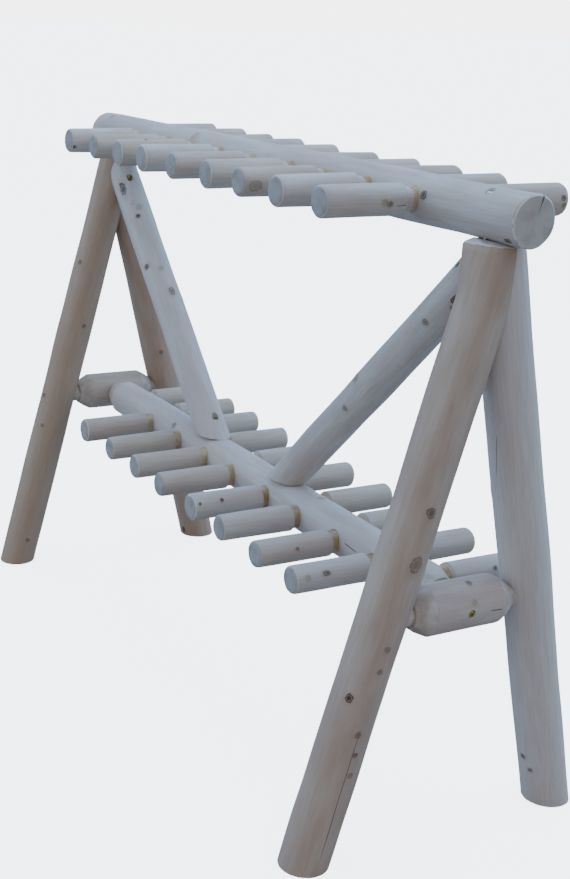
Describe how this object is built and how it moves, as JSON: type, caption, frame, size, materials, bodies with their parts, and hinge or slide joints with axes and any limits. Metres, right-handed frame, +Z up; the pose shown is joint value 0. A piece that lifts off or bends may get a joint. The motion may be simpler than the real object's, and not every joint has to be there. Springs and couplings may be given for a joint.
{
  "type": "ski rack stand",
  "caption": "Free-standing rack of peeled round logs: two A-frames carry a top beam and a lower beam with pegs on both sides, stiffened by diagonal braces.",
  "frame": {"origin": "on the floor under the middle of the rack", "axes": "+X along the beams towards the near A-frame, +Y across the rack, +Z up"},
  "size_m": [1.808, 0.7204, 1.3115],
  "materials": {
    "leg_log": "peeled softwood, dry and unvarnished",
    "beam_log": "peeled softwood, dry and unvarnished",
    "rail_log": "peeled softwood, dry and unvarnished",
    "brace_log": "peeled softwood, dry and unvarnished",
    "peg_wood": "peeled softwood, dry and unvarnished",
    "lag_screw": "yellow zinc plated"
  },
  "bodies": {
    "root": {"apex_screw_far_left": "lag_screw", "apex_screw_far_right": "lag_screw", "apex_screw_near_left": "lag_screw", "apex_screw_near_right": "lag_screw", "brace_far": "brace_log", "brace_foot_screw_far": "lag_screw", "brace_foot_screw_near": "lag_screw", "brace_near": "brace_log", "brace_top_screw_far": "lag_screw", "brace_top_screw_near": "lag_screw", "leg_far_left": "leg_log", "leg_far_right": "leg_log", "leg_near_left": "leg_log", "leg_near_right": "leg_log", "lower_beam": "beam_log", "peg_lower_left_1": "peg_wood", "peg_lower_left_2": "peg_wood", "peg_lower_left_3": "peg_wood", "peg_lower_left_4": "peg_wood", "peg_lower_left_5": "peg_wood", "peg_lower_left_6": "peg_wood", "peg_lower_left_7": "peg_wood", "peg_lower_left_8": "peg_wood", "peg_lower_right_1": "peg_wood", "peg_lower_right_10": "peg_wood", "peg_lower_right_2": "peg_wood", "peg_lower_right_3": "peg_wood", "peg_lower_right_4": "peg_wood", "peg_lower_right_5": "peg_wood", "peg_lower_right_6": "peg_wood", "peg_lower_right_7": "peg_wood", "peg_lower_right_8": "peg_wood", "peg_lower_right_9": "peg_wood", "peg_top_left_1": "peg_wood", "peg_top_left_2": "peg_wood", "peg_top_left_3": "peg_wood", "peg_top_left_4": "peg_wood", "peg_top_left_5": "peg_wood", "peg_top_left_6": "peg_wood", "peg_top_left_7": "peg_wood", "peg_top_left_8": "peg_wood", "peg_top_left_9": "peg_wood", "peg_top_right_1": "peg_wood", "peg_top_right_10": "peg_wood", "peg_top_right_2": "peg_wood", "peg_top_right_3": "peg_wood", "peg_top_right_4": "peg_wood", "peg_top_right_5": "peg_wood", "peg_top_right_6": "peg_wood", "peg_top_right_7": "peg_wood", "peg_top_right_8": "peg_wood", "peg_top_right_9": "peg_wood", "rail_far": "rail_log", "rail_near": "rail_log", "rail_screw_far": "lag_screw", "rail_screw_near": "lag_screw", "top_beam": "beam_log"}
  },
  "joints": []
}
